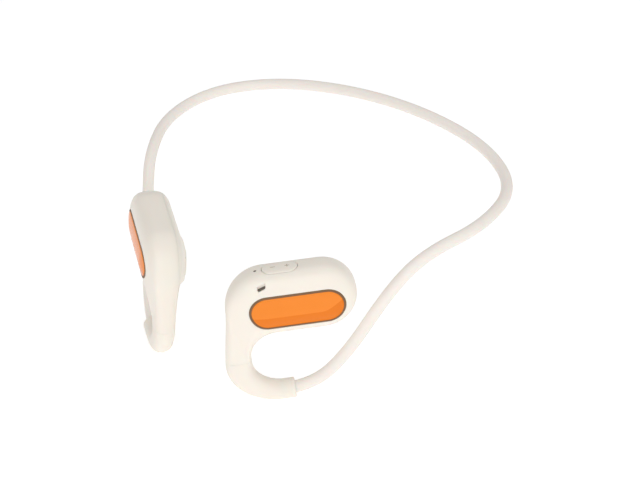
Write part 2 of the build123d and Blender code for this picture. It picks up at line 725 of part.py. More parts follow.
with BuildPart() as neckband_sleeve:
    with BuildSketch(sleeve_start):
        Circle(BAND_RADIUS)
        Circle(BAND_LUMEN, mode=Mode.SUBTRACT)
    sweep(path=sleeve_line.line)

with BuildPart() as neckband_wire:
    with BuildSketch(Plane(band_wire_line.line @ 0, z_dir=band_wire_line.line % 0)):
        Circle(MEMORY_WIRE_RADIUS)
    sweep(path=band_wire_line.line)

with BuildPart() as signal_wires:
    with BuildSketch(sleeve_start):
        with Locations((SIGNAL_WIRE_OFFSET, 0), (-SIGNAL_WIRE_OFFSET, 0)):
            Circle(SIGNAL_WIRE_RADIUS)
    sweep(path=sleeve_line.line)

write(neckband_sleeve.part, "neckband_sleeve")
write(neckband_wire.part, "neckband_wire")
write(signal_wires.part, "signal_wires")

sleeve_length = sum(edge.length for edge in sleeve_line.edges())
sleeve_volume = (BAND_RADIUS**2 - BAND_LUMEN**2) * pi * sleeve_length
print("band radii", [round(radius, 1) for radius in band_radii[: len(BAND_CORNERS) + 1]])
print("band length", round(sleeve_length, 1))
print("sleeve volume over section times length", neckband_sleeve.part.volume / sleeve_volume)
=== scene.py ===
import json
import math

import bmesh
import bpy
import numpy as np
from mathutils import Matrix, Vector
from mathutils.bvhtree import BVHTree


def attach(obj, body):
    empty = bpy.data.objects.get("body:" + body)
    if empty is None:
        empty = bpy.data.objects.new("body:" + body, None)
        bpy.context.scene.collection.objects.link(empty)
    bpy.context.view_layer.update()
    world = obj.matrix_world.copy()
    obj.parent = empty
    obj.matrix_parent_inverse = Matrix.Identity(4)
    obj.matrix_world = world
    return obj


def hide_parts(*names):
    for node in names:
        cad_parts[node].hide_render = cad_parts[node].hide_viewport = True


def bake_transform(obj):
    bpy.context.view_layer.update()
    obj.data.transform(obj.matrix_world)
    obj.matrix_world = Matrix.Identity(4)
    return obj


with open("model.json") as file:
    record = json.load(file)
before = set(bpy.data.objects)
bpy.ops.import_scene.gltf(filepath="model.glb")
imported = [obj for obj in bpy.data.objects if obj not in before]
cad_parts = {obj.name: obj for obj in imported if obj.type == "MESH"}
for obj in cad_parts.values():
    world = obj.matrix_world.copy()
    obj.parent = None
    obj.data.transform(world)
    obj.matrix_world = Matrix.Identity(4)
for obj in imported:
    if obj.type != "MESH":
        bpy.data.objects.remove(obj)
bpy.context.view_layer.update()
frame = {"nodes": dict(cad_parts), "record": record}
nodes = frame["nodes"]
record = frame["record"]

MM = 0.001
RIGHT, LEFT = "right_side", "left_side"

# ---------------------------------------------------------------- the earpiece's own frame
# x runs back along the capsule, y up and z outward from the head, in millimetres, with the origin
# at the collar's mouth. It is found again from two mounts whose places in it are known.
PAD_MOUNT_AT = Vector((-4.0, 31.5, -8.8))
CHARGE_MOUNT_AT = Vector((15.8, 33.6, -6.8))


def earpiece_matrix():
    """The right earpiece's frame, in millimetres, seen in the object's frame, in metres."""
    mounts = {mount["name"]: mount for mount in record["mounts"]}
    pad = Vector(mounts["right_pad_face"]["pos_m"])
    charge = Vector(mounts["charging_face"]["pos_m"])
    outward = -Vector(mounts["right_pad_face"]["axis"]).normalized()
    step = (CHARGE_MOUNT_AT - PAD_MOUNT_AT) * MM
    across = charge - pad - outward * step.z
    back = (across * step.x - outward.cross(across) * step.y).normalized()
    up = outward.cross(back)
    turn = Matrix((back, up, outward)).transposed()
    origin = pad - turn @ (PAD_MOUNT_AT * MM)
    return Matrix.Translation(origin) @ turn.to_4x4() @ Matrix.Scale(MM, 4)


EAR = earpiece_matrix()
MIRROR = Matrix.Scale(-1, 4, Vector((1, 0, 0)))

# ---------------------------------------------------------------- dimensions, in millimetres
# The side outline: an inner and an outer edge that run from the collar, round the hook, up the arm
# and round into the capsule, which ends in a round dome. Arcs are given as their reach in x and y.
COLLAR_LENGTH = 4.0
COLLAR_RADIUS = 3.25
HOOK_HALF_HEIGHT = 3.22
ARM_INNER = -12.57
ARM_FRONT = -21.13
HOOK_INNER_ARC = (9.4, 7.9)
HOOK_OUTER_ARC = (17.32, 14.37)
HOOK_ARC_START = math.radians(24)
FRONT_LEAN = 2.65
THROAT_RADIUS = 9.57
NOSE_ARC = (12.64, 13.53)
CAPSULE_BOTTOM = 23.16
CAPSULE_TOP = 44.83
CAPSULE_END_X = 11.99
HOOK_HALF_THICK = 3.25
ARM_HALF_THICK = 3.58
CAPSULE_HALF_THICK = 6.76
HOOK_POWER = 2.0
HOOK_POWER_GAIN = 0.15
ARM_POWER = 2.7
CAPSULE_POWER = 3.2
ARM_ROUNDING = 4.29
CAPSULE_ROUNDING = 10.84
THICKENING_IN_ARM = 0.2
RING_POINTS = 96
END_STEPS = 40
COLLAR_ROWS, HOOK_ROWS, ARM_ROWS, NOSE_ROWS, CAPSULE_ROWS = 8, 28, 20, 36, 16
SMALL_TURN = 0.01

ARM_SEAM = 13.5
SPLIT = -3.6
LID_BOTTOM = 20.5
SEAM_GAP = 0.05
WALL = 1.3
CAVITY_BOTTOM = 24.5
CAVITY_ROWS_FROM = 16.0
CAVITY_LEVELS = (-5.5, 4.4)
CAVITY_POWER = 6.0
SEAL_INSETS = (0.75, 1.2)
SEAL_DROPS = (0.02, 0.28)
# A section or the pod's skin reaches a level only if it goes this far past it.
THIN_MARGIN = 0.6
# Further out than the whole earpiece.
BEYOND = 60.0
SMALLEST_RADIUS = 0.02
BAND_RADIUS = 2.0
BAND_LUMEN = 1.15
MEMORY_WIRE_RADIUS = 0.5
SIGNAL_WIRE_RADIUS = 0.25
SIGNAL_WIRE_OFFSET = 0.8
# Places along the collar's axis: where the band ends inside it, and a corner of its line ahead of it.
COLLAR_AXIS_X = (-3.0, 5.5)
BAND_WIRE_START = -5.7

PLATE_AT = (3.9, 32.4)
PLATE_HALF = (15.0, 5.9)
GASKET_WIDTH = 0.7
# Edge profiles that follow the capsule's skin, each as an inset from the outline and a height.
PLATE_EDGE = [
    (0.0, -1.15), (0.0, -0.12), (0.03, -0.02), (0.1, 0.08), (0.2, 0.15), (0.35, 0.2), (0.55, 0.23),
]
PLATE_CROWN = 0.27
PLATE_MIDDLE = 0.04
PLATE_POINTS = 160
PLATE_STEPS = 22
FACET_FADE_LOOPS = 5
GASKET_EDGE = [
    (0.0, -1.1), (0.0, -0.1), (0.1, 0.02), (0.25, 0.08), (GASKET_WIDTH - 0.12, 0.1), (GASKET_WIDTH, 0.06),
    (GASKET_WIDTH, -1.1),
]
RECESS_EDGE = [(0.0, -1.2), (0.0, -0.12), (-0.05, -0.03), (-0.2, 0.02), (-0.3, 0.6)]
# The plate's lower facet lies below a line that runs level and then climbs towards the rear.
CREASE_HEIGHT = 31.0
CREASE_TURN_X = 12.5
CREASE_SLOPE = 0.6
CREASE_EASE = 1.2
# The soft edge, in millimetres, over which the painted darker reflection fades in below the crease.
CREASE_FADE = (-0.12, 0.18)
FACET_SLOPE = 0.07
FACET_EASE = 0.25

POD_AT = (-4.0, 31.5)
POD_APEX = (-4.0, 29.0, 8.25)
POD_BENDS = (0.023, 0.008)
# The ovals at the pod's foot and round its face: half length, half height and shift in y.
POD_RIM = (11.6, 8.0, 0.5)
POD_TOP = (8.9, 6.3, -0.2)
POD_STEPS = 18
POD_SINK = 0.04
POD_FOOT = 0.1
PAD_HALF = (7.9, 4.6)
# The pad's recess and the pad, each as loops of growth beyond the pad's outline and a depth or a rise.
PAD_RECESS = [(0.45, 0.0), (0.25, 0.02), (0.12, 0.07), (0.05, 0.2), (-1.5, 0.2), (-3.0, 0.2), (-4.4, 0.2)]
PAD_EDGE = [
    (-0.04, -0.17), (-0.02, 0.0), (-0.08, 0.12), (-0.25, 0.21), (-0.6, 0.27), (-1.5, 0.29), (-3.0, 0.3),
    (-4.4, 0.3),
]
DRIVER_SPACE_RADIUS = 6.3
DRIVER_SPACE_FLOOR = -7.1
DRIVER_SPACE_OVERRUN = 2.0

ROCKER_AT = (0.0, 0.6)
ROCKER_HALF = (5.7, 2.95)
ROCKER_FLOOR = 43.05
ROCKER_EDGE = [(0.16, -1.4), (0.16, -0.1), (0.2, 0.04), (0.32, 0.12), (0.6, 0.15), (1.6, 0.16), (2.5, 0.16)]
WELL_LIP = [(0.0, -0.08), (-0.1, -0.03), (-0.12, 1.92)]
PIVOT_HEIGHT = 42.65
BOSS_RADIUS = 1.1
BOSS_HALF_LENGTH = 1.4
BORE_RADIUS = 0.54
BORE_HALF_LENGTH = 3.0
NUB_RADIUS = 0.7
NUB_BOTTOM = 41.85
NUB_TOP = 43.9
NUB_SPACING = 4.1
# The plus and minus signs, raised bars whose darker colour is painted shade standing in for the shade in
# engraved signs: their bars' half length and half width, and where they lie on the rocker.
SIGN_REACH = 0.75
SIGN_HALF_WIDTH = 0.12
SIGN_Z = 0.3
MINUS_X = -2.1
PLUS_X = 2.35
SIGN_EDGE = [(0.0, 0.0), (0.0, 0.17), (0.04, 0.21)]

LIGHT_AT = (-7.55, 0.7)
LIGHT_RADIUS = 0.5
LIGHT_HOLE = (41.0, 50.0)
PIPE_RADIUS = 0.48
PIPE_BOTTOM = 41.3
PIPE_RECESS = 0.12
PORT_CORNERS = [(-7.7, 41.8), (-4.7, 42.95), (-5.0, 41.0), (-7.4, 40.1)]
PORT_CORNER_EASE = 0.5
PORT_FLOOR = 5.2
# The port's wall, as a level of z and the outline's growth there.
PORT_LEVELS = [(PORT_FLOOR, -0.2), (5.9, -0.02), (7.5, 0.15)]
MESH_GROWTH = -0.1
MESH_SHARE = 0.36
MESH_LEVELS = (PORT_FLOOR - 0.25, 5.85)
CONTACT_SPOTS = [(15.8, 32.1), (15.8, 35.1)]
CONTACT_RADIUS = 0.78
# A contact's edge, as a share of its radius and a rise above the shell.
CONTACT_EDGE = [(1.0, -1.6), (1.0, 0.0), (0.94, 0.05), (0.8, 0.08), (0.4, 0.09), (0.1, 0.09)]

# Points closer than this are merged.
SAME_POINT = 1e-4


# ---------------------------------------------------------------- mesh helpers
def eased(t):
    """Smooth step from 0 to 1."""
    t = min(max(t, 0.0), 1.0)
    return t * t * (3 - 2 * t)


def mixed(a, b, t):
    """The value this share of the way from a to b."""
    return a + (b - a) * t


def hermite(start, end, slope_in, slope_out, t):
    """A point of the cubic between two points with these slopes."""
    return (
        (2 * t**3 - 3 * t**2 + 1) * start
        + (t**3 - 2 * t**2 + t) * slope_in
        + (3 * t**2 - 2 * t**3) * end
        + (t**3 - t**2) * slope_out
    )


def hook_edges(turn):
    """The two edges of the hook's bend."""
    s, c = 1 - math.sin(turn), 1 - math.cos(turn)
    inner = (ARM_INNER + HOOK_INNER_ARC[0] * s, HOOK_HALF_HEIGHT + HOOK_INNER_ARC[1] * c)
    outer = (ARM_FRONT + HOOK_OUTER_ARC[0] * s, -HOOK_HALF_HEIGHT + HOOK_OUTER_ARC[1] * c)
    return np.array(inner + outer)


def nose_edges(turn):
    """The two edges of the bend from the arm into the capsule."""
    s, c = 1 - math.sin(turn), 1 - math.cos(turn)
    inner = (ARM_INNER + THROAT_RADIUS * c, CAPSULE_BOTTOM - THROAT_RADIUS * s)
    outer = (ARM_FRONT + FRONT_LEAN + NOSE_ARC[0] * c, CAPSULE_TOP - NOSE_ARC[1] * s)
    return np.array(inner + outer)


def body_rows():
    """Sections from the collar to the rear dome: edges, half thickness, power and end rounding."""
    rows = []
    collar = np.array((-COLLAR_LENGTH, HOOK_HALF_HEIGHT, -COLLAR_LENGTH, -HOOK_HALF_HEIGHT))
    first = hook_edges(HOOK_ARC_START)
    ahead = hook_edges(HOOK_ARC_START + SMALL_TURN) - first
    leap = first - collar
    inner_step, outer_step = np.hypot(*leap[:2]), np.hypot(*leap[2:])
    slope_in = np.array((-inner_step, 0, -outer_step, 0))
    slope_out = np.concatenate((
        ahead[:2] / np.hypot(*ahead[:2]) * inner_step,
        ahead[2:] / np.hypot(*ahead[2:]) * outer_step,
    ))
    quarter = math.pi / 2
    for t in np.linspace(0, 1, COLLAR_ROWS, endpoint=False):
        edges = hermite(collar, first, slope_in, slope_out, t)
        rows.append((edges, HOOK_HALF_THICK, HOOK_POWER + HOOK_POWER_GAIN * t, CAPSULE_ROUNDING))
    for t in np.linspace(0, 1, HOOK_ROWS, endpoint=False):
        edges = hook_edges(mixed(HOOK_ARC_START, quarter, t))
        thick = mixed(HOOK_HALF_THICK, ARM_HALF_THICK, t)
        power = mixed(HOOK_POWER + HOOK_POWER_GAIN, ARM_POWER, t)
        rows.append((edges, thick, power, mixed(CAPSULE_ROUNDING, ARM_ROUNDING, t)))
    arm_start, arm_end = hook_edges(quarter), nose_edges(0)
    run = arm_end - arm_start
    slope = np.array((0, run[1], run[2] / 2, run[3]))
    growth = CAPSULE_HALF_THICK - ARM_HALF_THICK
    for t in np.linspace(0, 1, ARM_ROWS, endpoint=False):
        share = eased(max(2 * t - 1, 0) * THICKENING_IN_ARM)
        thick = ARM_HALF_THICK + growth * share
        rows.append((hermite(arm_start, arm_end, slope, slope, t), thick, ARM_POWER, ARM_ROUNDING))
    for t in np.linspace(0, 1, NOSE_ROWS, endpoint=False):
        share = eased(THICKENING_IN_ARM + (1 - THICKENING_IN_ARM) * t)
        thick = ARM_HALF_THICK + growth * share
        rounding = mixed(ARM_ROUNDING, CAPSULE_ROUNDING, eased(t))
        rows.append((nose_edges(quarter * t), thick, mixed(ARM_POWER, CAPSULE_POWER, t), rounding))
    nose = nose_edges(quarter)
    tail = np.array((CAPSULE_END_X, CAPSULE_BOTTOM, CAPSULE_END_X, CAPSULE_TOP))
    for t in np.linspace(0, 1, CAPSULE_ROWS):
        rows.append((mixed(nose, tail, t), CAPSULE_HALF_THICK, CAPSULE_POWER, CAPSULE_ROUNDING))
    return rows


BODY_ROWS = body_rows()


def power_ring(power):
    """A unit superellipse as its x and its y values."""
    angle = np.linspace(0, 2 * math.pi, RING_POINTS, endpoint=False)
    c, s = np.cos(angle), np.sin(angle)
    return np.sign(c) * np.abs(c) ** (2 / power), np.sign(s) * np.abs(s) ** (2 / power)


def section_ring(row):
    """One section of the earpiece as a closed loop: rounded ends with a flat between them."""
    edges, half_thick, power, rounding = row
    centre, reach = (edges[:2] + edges[2:]) / 2, (edges[2:] - edges[:2]) / 2
    length = np.hypot(*reach)
    across, out = power_ring(power)
    rounding = min(rounding, length)
    across = (np.sign(np.round(across, 9)) * (length - rounding) + across * rounding) / length
    flat = centre + np.outer(across, reach)
    return [Vector((x, y, z)) for (x, y), z in zip(flat, out * half_thick)]


def slot_ring(half_length, half_height, count=96):
    """A slot's outline: two half circles and two straight sides."""
    straight = half_length - half_height
    ring = []
    for i in range(count):
        angle = 2 * math.pi * (i + 0.5) / count
        side = 1 if math.cos(angle) > 0 else -1
        ring.append((side * straight + half_height * math.cos(angle), half_height * math.sin(angle)))
    return ring


def oval_ring(half_length, half_height, count=96):
    """An ellipse's outline."""
    turns = [2 * math.pi * i / count for i in range(count)]
    return [(half_length * math.cos(turn), half_height * math.sin(turn)) for turn in turns]


def circle(radius, at, count):
    """A circle's outline round this centre."""
    return placed(oval_ring(radius, radius, count), at)


def add_loops(bm, loops, cap_start=True, cap_end=True):
    """Joins closed loops of points, in order, and closes the ends."""
    rings = [[bm.verts.new(point) for point in loop] for loop in loops]
    for low, high in zip(rings, rings[1:]):
        for i in range(len(low)):
            j = (i + 1) % len(low)
            bm.faces.new((low[i], low[j], high[j], high[i]))
    if cap_start:
        bm.faces.new(rings[0][::-1])
    if cap_end:
        bm.faces.new(rings[-1])


def solid(loops):
    """A new closed bmesh through these loops, facing outward."""
    bm = bmesh.new()
    add_loops(bm, loops)
    bmesh.ops.recalc_face_normals(bm, faces=bm.faces)
    return bm


def prism(ring, low, high, axis="z"):
    """A straight bar of this outline: along z from its x and y, or along y from its x and z."""
    if axis == "z":
        return solid([[(x, y, level) for x, y in ring] for level in (low, high)])
    return solid([[(x, level, z) for x, z in ring] for level in (low, high)])


def placed(ring, at):
    """The ring moved to this centre."""
    return [(x + at[0], y + at[1]) for x, y in ring]


def make_object(bm, name, matrix=None):
    """A mesh object from a bmesh in the earpiece's frame, moved to the object's frame."""
    mesh = bpy.data.meshes.new(name)
    if matrix is not None:
        bm.transform(matrix)
        if matrix.determinant() < 0:
            bmesh.ops.reverse_faces(bm, faces=bm.faces)
    bm.to_mesh(mesh)
    bm.free()
    obj = bpy.data.objects.new(name, mesh)
    bpy.context.scene.collection.objects.link(obj)
    return obj


def combined(bm, other, operation):
    """The exact boolean of two bmeshes, as a new bmesh. Both are used up."""
    base, tool = make_object(bm, "base"), make_object(other, "tool")
    modifier = base.modifiers.new("cut", "BOOLEAN")
    modifier.operation = operation
    modifier.solver = "EXACT"
    modifier.object = tool
    depsgraph = bpy.context.evaluated_depsgraph_get()
    result = bmesh.new()
    result.from_mesh(base.evaluated_get(depsgraph).to_mesh())
    bmesh.ops.remove_doubles(result, verts=result.verts, dist=SAME_POINT)
    bpy.data.objects.remove(base)
    bpy.data.objects.remove(tool)
    return result


def cut(bm, other):
    """The first without the second."""
    return combined(bm, other, "DIFFERENCE")


def join(bm, other):
    """Both as one."""
    return combined(bm, other, "UNION")


def half(bm, level, keep_above):
    """The part of a closed solid above or below a level of y, closed again."""
    side = bm.copy()
    geometry = side.verts[:] + side.edges[:] + side.faces[:]
    bmesh.ops.bisect_plane(
        side,
        geom=geometry,
        plane_co=(0, level, 0),
        plane_no=(0, 1, 0),
        clear_inner=keep_above,
        clear_outer=not keep_above,
    )
    open_edges = [edge for edge in side.edges if edge.is_boundary]
    bmesh.ops.edgeloop_fill(side, edges=open_edges)
    bmesh.ops.recalc_face_normals(side, faces=side.faces)
    return side


SHARP_ANGLE = math.radians(32)


def finish_piece(obj, material, body, replaced):
    """Shades a piece, gives it its material and body, if any, and hides the CAD nodes it stands for."""
    obj.data.materials.clear()
    obj.data.materials.append(material)
    obj.data.polygons.foreach_set("use_smooth", [True] * len(obj.data.polygons))
    obj.data.set_sharp_from_angle(angle=SHARP_ANGLE)
    if body:
        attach(obj, body)
    if replaced:
        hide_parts(*replaced)


# ---------------------------------------------------------------- materials
GRAIN_DEPTH = 0.00003


def surface(name, low, high, scale, rough, fine_scale=0, fine_bump=0.0, **inputs):
    """A shader whose colour and roughness drift with soft noise, over a fine moulded grain."""
    material = bpy.data.materials.new(name)
    material.use_nodes = True
    tree = material.node_tree
    shader = tree.nodes["Principled BSDF"]
    for socket, value in inputs.items():
        shader.inputs[socket].default_value = value
    place = tree.nodes.new("ShaderNodeTexCoord")
    drift = tree.nodes.new("ShaderNodeTexNoise")
    drift.inputs["Scale"].default_value = scale
    drift.inputs["Detail"].default_value = 4
    tree.links.new(place.outputs["Object"], drift.inputs["Vector"])
    tint = tree.nodes.new("ShaderNodeMix")
    tint.data_type = "RGBA"
    tint.inputs["A"].default_value = (*low, 1)
    tint.inputs["B"].default_value = (*high, 1)
    tree.links.new(drift.outputs["Fac"], tint.inputs["Factor"])
    tree.links.new(tint.outputs["Result"], shader.inputs["Base Color"])
    gloss = tree.nodes.new("ShaderNodeMapRange")
    gloss.inputs["To Min"].default_value = rough[0]
    gloss.inputs["To Max"].default_value = rough[1]
    tree.links.new(drift.outputs["Fac"], gloss.inputs["Value"])
    tree.links.new(gloss.outputs["Result"], shader.inputs["Roughness"])
    if fine_bump:
        grain = tree.nodes.new("ShaderNodeTexNoise")
        grain.inputs["Scale"].default_value = fine_scale
        grain.inputs["Detail"].default_value = 3
        tree.links.new(place.outputs["Object"], grain.inputs["Vector"])
        bump = tree.nodes.new("ShaderNodeBump")
        bump.inputs["Strength"].default_value = fine_bump
        bump.inputs["Distance"].default_value = GRAIN_DEPTH
        tree.links.new(grain.outputs["Fac"], bump.inputs["Height"])
        tree.links.new(bump.outputs["Normal"], shader.inputs["Normal"])
    return material


CREAM_LOW, CREAM_HIGH = (0.835, 0.772, 0.688), (0.865, 0.805, 0.722)
BAND_LOW, BAND_HIGH = (0.845, 0.772, 0.715), (0.875, 0.805, 0.75)
SOFT_SKIN = {
    "Subsurface Weight": 0.18, "Subsurface Scale": 0.0025, "Sheen Weight": 0.06, "Sheen Roughness": 0.4,
}
SATIN_SKIN = {
    "Subsurface Weight": 0.12, "Subsurface Scale": 0.002, "Coat Weight": 0.08, "Coat Roughness": 0.35,
}
METAL = {"Metallic": 1.0}

# Each surface: name, two colours, drift scale, roughness range, then grain scale and strength.
materials = {
    "cream_plastic": surface(
        "cream_plastic", CREAM_LOW, CREAM_HIGH, 60, (0.34, 0.44), 5200, 0.10,
        **SATIN_SKIN,
    ),
    "cream_silicone": surface(
        "cream_silicone", CREAM_LOW, CREAM_HIGH, 90, (0.46, 0.56), 6500, 0.14,
        **SOFT_SKIN,
    ),
    "band_silicone": surface(
        "band_silicone", BAND_LOW, BAND_HIGH, 90, (0.46, 0.56), 6500, 0.14,
        **SOFT_SKIN,
    ),
    "orange_gloss": surface(
        "orange_gloss", (0.83, 0.225, 0.016), (0.87, 0.245, 0.022), 40, (0.14, 0.2),
        **{"Specular IOR Level": 0.18, "Coat Weight": 0.18, "Coat Roughness": 0.05},
    ),
    # Painted shade: the signs' darker colour stands in for the shade in engraved signs.
    "sign_groove_shade": surface(
        "sign_groove_shade", (0.42, 0.33, 0.22), (0.50, 0.40, 0.28), 300, (0.5, 0.6), 5000, 0.1,
    ),
    "brown_rubber": surface(
        "brown_rubber", (0.16, 0.08, 0.03), (0.21, 0.11, 0.045), 300, (0.5, 0.65), 5000, 0.2,
    ),
    "seal_rubber": surface(
        "seal_rubber", (0.05, 0.05, 0.05), (0.07, 0.07, 0.07), 300, (0.5, 0.6), 5000, 0.2,
    ),
    "spring_steel": surface(
        "spring_steel", (0.42, 0.42, 0.43), (0.55, 0.55, 0.56), 500, (0.2, 0.32), 7000, 0.1, **METAL,
    ),
    "black_plastic": surface(
        "black_plastic", (0.02, 0.02, 0.022), (0.03, 0.03, 0.032), 200, (0.35, 0.5), 4000, 0.15,
    ),
    "copper_wire": surface(
        "copper_wire", (0.60, 0.22, 0.10), (0.72, 0.30, 0.14), 900, (0.25, 0.4), 9000, 0.3, **METAL,
    ),
    "yoke_steel": surface(
        "yoke_steel", (0.40, 0.40, 0.42), (0.50, 0.50, 0.51), 300, (0.3, 0.42), 4000, 0.1, **METAL,
    ),
    "magnet_nickel": surface(
        "magnet_nickel", (0.60, 0.60, 0.58), (0.70, 0.70, 0.68), 200, (0.12, 0.2), 3000, 0.05, **METAL,
    ),
    "board_green": surface(
        "board_green", (0.01, 0.10, 0.045), (0.015, 0.14, 0.06), 700, (0.3, 0.42), 3500, 0.1,
    ),
    "chip_black": surface(
        "chip_black", (0.012, 0.012, 0.013), (0.02, 0.02, 0.021), 500, (0.4, 0.55), 5000, 0.2,
    ),
    "battery_foil": surface(
        "battery_foil", (0.55, 0.56, 0.58), (0.68, 0.69, 0.71), 150, (0.25, 0.4), 1500, 0.2, **METAL,
    ),
    "gold_contact": surface(
        "gold_contact", (0.75, 0.50, 0.16), (0.85, 0.60, 0.22), 600, (0.15, 0.25), 4000, 0.05, **METAL,
    ),
    "crimp_brass": surface(
        "crimp_brass", (0.55, 0.40, 0.16), (0.68, 0.50, 0.22), 500, (0.25, 0.4), 4000, 0.1, **METAL,
    ),
    "clear_pipe": surface("clear_pipe", (0.045, 0.025, 0.014), (0.07, 0.04, 0.024), 900, (0.35, 0.45)),
    "dark_mesh": surface(
        "dark_mesh", (0.08, 0.065, 0.05), (0.14, 0.115, 0.09), 9000, (0.6, 0.8), 12000, 0.6,
    ),
    "wire_insulation": surface(
        "wire_insulation", (0.02, 0.02, 0.02), (0.03, 0.03, 0.03), 300, (0.4, 0.5), 4000, 0.1,
    ),
}


def paint_reflection_shade_below_crease(material, deep):
    """Mixes in a painted darker reflection below the crease of the plate, on both earpieces alike: a deeper
    orange where the lower facet would reflect less of the bright surroundings.
    """
    tree = material.node_tree
    shader = tree.nodes["Principled BSDF"]
    plain = shader.inputs["Base Color"].links[0].from_socket
    place = tree.nodes.new("ShaderNodeTexCoord")
    split = tree.nodes.new("ShaderNodeSeparateXYZ")
    tree.links.new(place.outputs["Object"], split.inputs["Vector"])

    def math_node(operation, *values):
        node = tree.nodes.new("ShaderNodeMath")
        node.operation = operation
        for socket, value in zip(node.inputs, values):
            if isinstance(value, (int, float)):
                socket.default_value = value
            else:
                tree.links.new(value, socket)
        return node.outputs["Value"]

    mirrored = math_node("ABSOLUTE", split.outputs["X"])
    joined = tree.nodes.new("ShaderNodeCombineXYZ")
    tree.links.new(mirrored, joined.inputs["X"])
    tree.links.new(split.outputs["Y"], joined.inputs["Y"])
    tree.links.new(split.outputs["Z"], joined.inputs["Z"])
    local = tree.nodes.new("ShaderNodeMapping")
    local.vector_type = "TEXTURE"
    local.inputs["Location"].default_value = EAR.to_translation()
    local.inputs["Rotation"].default_value = EAR.to_euler()
    local.inputs["Scale"].default_value = (MM, MM, MM)
    tree.links.new(joined.outputs["Vector"], local.inputs["Vector"])
    ear = tree.nodes.new("ShaderNodeSeparateXYZ")
    tree.links.new(local.outputs["Vector"], ear.inputs["Vector"])
    beyond = math_node("SUBTRACT", ear.outputs["X"], CREASE_TURN_X)
    climb = math_node("MULTIPLY", math_node("SMOOTH_MAX", beyond, 0.0, 2 * CREASE_EASE), CREASE_SLOPE)
    crease = math_node("ADD", climb, CREASE_HEIGHT)
    depth = math_node("SUBTRACT", crease, ear.outputs["Y"])
    painted_reflection_mask = tree.nodes.new("ShaderNodeMapRange")
    painted_reflection_mask.interpolation_type = "SMOOTHSTEP"
    painted_reflection_mask.inputs["From Min"].default_value = CREASE_FADE[0]
    painted_reflection_mask.inputs["From Max"].default_value = CREASE_FADE[1]
    tree.links.new(depth, painted_reflection_mask.inputs["Value"])
    blend = tree.nodes.new("ShaderNodeMix")
    blend.data_type = "RGBA"
    blend.inputs["B"].default_value = (*deep, 1)
    tree.links.new(plain, blend.inputs["A"])
    tree.links.new(painted_reflection_mask.outputs["Result"], blend.inputs["Factor"])
    tree.links.new(blend.outputs["Result"], shader.inputs["Base Color"])


# Painted reflection: the deeper orange below the crease stands in for the darker reflection of the plate's
# lower facet.
REFLECTION_SHADE_ORANGE = (0.76, 0.18, 0.002)
paint_reflection_shade_below_crease(materials["orange_gloss"], REFLECTION_SHADE_ORANGE)

slots = {part["node"]: part["material_slot"] for part in record["subparts"]}
for node_name, node in nodes.items():
    node.data.materials.clear()
    node.data.materials.append(materials[slots[node_name]])
    node.data.polygons.foreach_set("use_smooth", [True] * len(node.data.polygons))
    node.data.set_sharp_from_angle(angle=SHARP_ANGLE)


# ---------------------------------------------------------------- the capsule's and the hook's skins
def rear_dome(bm, row):
    """Adds the round rear end beyond the last section."""
    edges, half_thick, power, _ = row
    centre_x, centre_y = (edges[:2] + edges[2:]) / 2
    reach = (edges[3] - edges[1]) / 2
    across, out = power_ring(power)
    quarter = RING_POINTS // 4
    profile = [(across[i] * reach, out[i] * half_thick) for i in range(-quarter, quarter + 1)]
    grid = []
    for step in range(END_STEPS + 1):
        turn = math.pi * step / END_STEPS
        side, up = math.sin(turn), math.cos(turn)
        grid.append([bm.verts.new((centre_x + r * side, centre_y + r * up, z)) for r, z in profile])
    for low, high in zip(grid, grid[1:]):
        for i in range(len(low) - 1):
            bm.faces.new((low[i], high[i], high[i + 1], low[i + 1]))
    bmesh.ops.remove_doubles(bm, verts=bm.verts, dist=SAME_POINT)
    bmesh.ops.recalc_face_normals(bm, faces=bm.faces)


def body_solid():
    """The closed hook, arm and capsule in one."""
    bm = bmesh.new()
    add_loops(bm, [section_ring(row) for row in BODY_ROWS], cap_end=False)
    rear_dome(bm, BODY_ROWS[-1])
    return bm


def cavity_solid():
    """The space inside the capsule, a wall's thickness in from its outline."""
    low, high = CAVITY_LEVELS
    rows = []
    for edges, half_thick, _, rounding in BODY_ROWS:
        span = edges[2:] - edges[:2]
        inward = np.concatenate((span, -span)) / np.hypot(*span) * WALL
        if edges[1] + inward[1] > CAVITY_ROWS_FROM:
            rows.append((edges + inward, min(half_thick - WALL, (high - low) / 2), CAVITY_POWER, rounding))
    bm = bmesh.new()
    add_loops(bm, [section_ring(row) for row in rows], cap_end=False)
    rear_dome(bm, rows[-1])
    bm.transform(Matrix.Translation((0, 0, (low + high) / 2)))
    return half(bm, CAVITY_BOTTOM, True)


def box_solid(low, high):
    """A plain block between two corners, used only to cut."""
    ring = [(low[0], low[1]), (high[0], low[1]), (high[0], high[1]), (low[0], high[1])]
    return prism(ring, low[2], high[2])


def collar_solid():
    """A short sleeve with a rolled edge and a mouth for the neckband."""
    rim = COLLAR_RADIUS + 0.04
    bore_end = COLLAR_AXIS_X[0]
    profile = [
        (-COLLAR_LENGTH, 0.0), (-COLLAR_LENGTH, COLLAR_RADIUS), (-1.55, COLLAR_RADIUS),
        (-1.4, COLLAR_RADIUS), (-1.2, rim), (-0.45, rim),
        (-0.22, rim - 0.08), (-0.07, rim - 0.25), (0.0, rim - 0.5),
        (0.0, BAND_RADIUS + 0.3), (-0.08, BAND_RADIUS + 0.12), (-0.3, BAND_RADIUS + 0.04),
        (bore_end, BAND_RADIUS + 0.03), (bore_end, 0.0),
    ]
    loops = []
    for x, radius in profile:
        around = circle(max(radius, SMALLEST_RADIUS), (0, 0), 64)
        loops.append([(x, y, z) for y, z in around])
    return solid(loops)


body = body_solid()
capsule_tree = BVHTree.FromBMesh(body)


